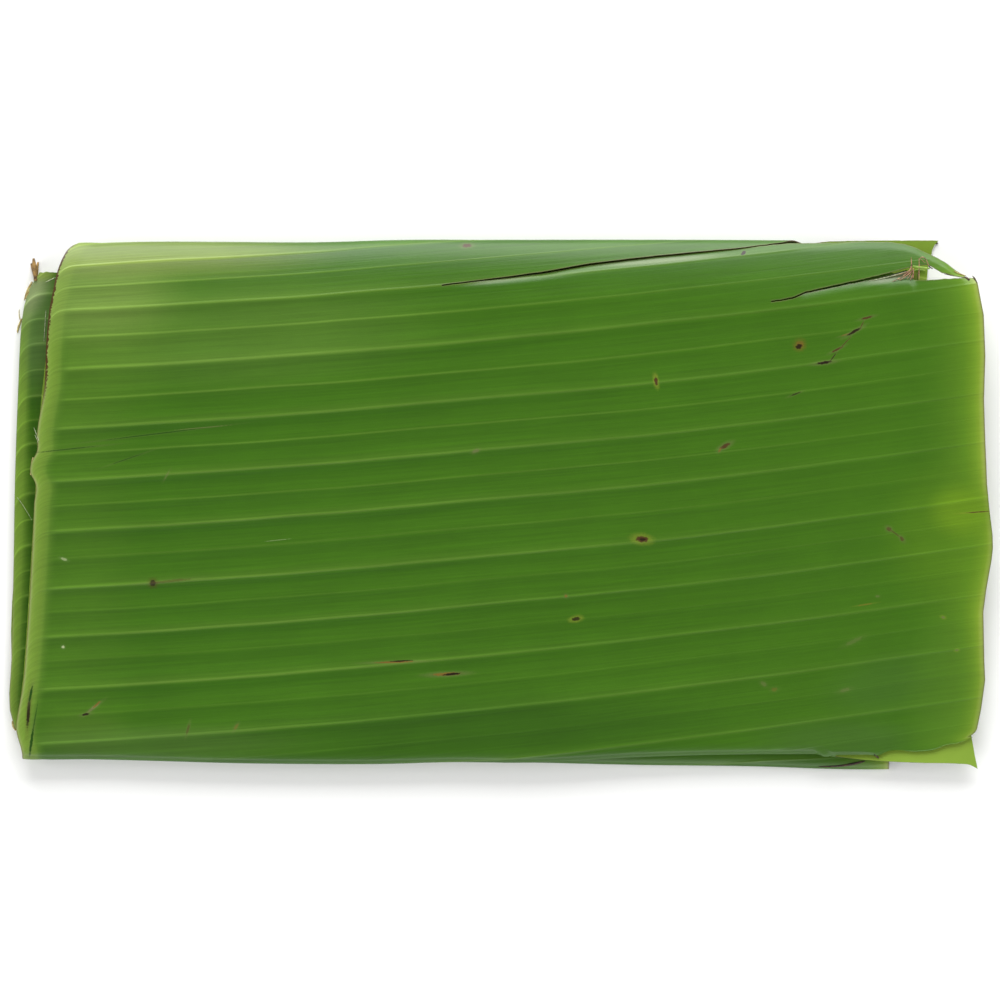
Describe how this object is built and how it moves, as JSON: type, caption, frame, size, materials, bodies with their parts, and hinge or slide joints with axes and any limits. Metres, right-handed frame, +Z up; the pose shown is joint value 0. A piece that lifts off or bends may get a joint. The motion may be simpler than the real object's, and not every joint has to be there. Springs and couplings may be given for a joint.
{
  "type": "folded banana leaf",
  "caption": "Half blade of a banana leaf, cut off its midrib and folded into a flat rectangular pack for wrapping or lining food.",
  "frame": {"origin": "middle of the pack's bounding box, on the surface it rests on", "axes": "+X along the veins, from the cut midrib side to the natural margin; +Y towards the big rounded fold; +Z up, out of the glossy top sheet"},
  "size_m": [0.3004, 0.1618, 0.0128],
  "materials": {
    "leaf": "Waxy semi-gloss mid-green upper face with raised yellow-green parallel veins; duller yellow-green underside; pale band at the cut edge; thin brown dry line at the margin."
  },
  "bodies": {
    "root": {"banana_leaf": "leaf"}
  },
  "joints": []
}
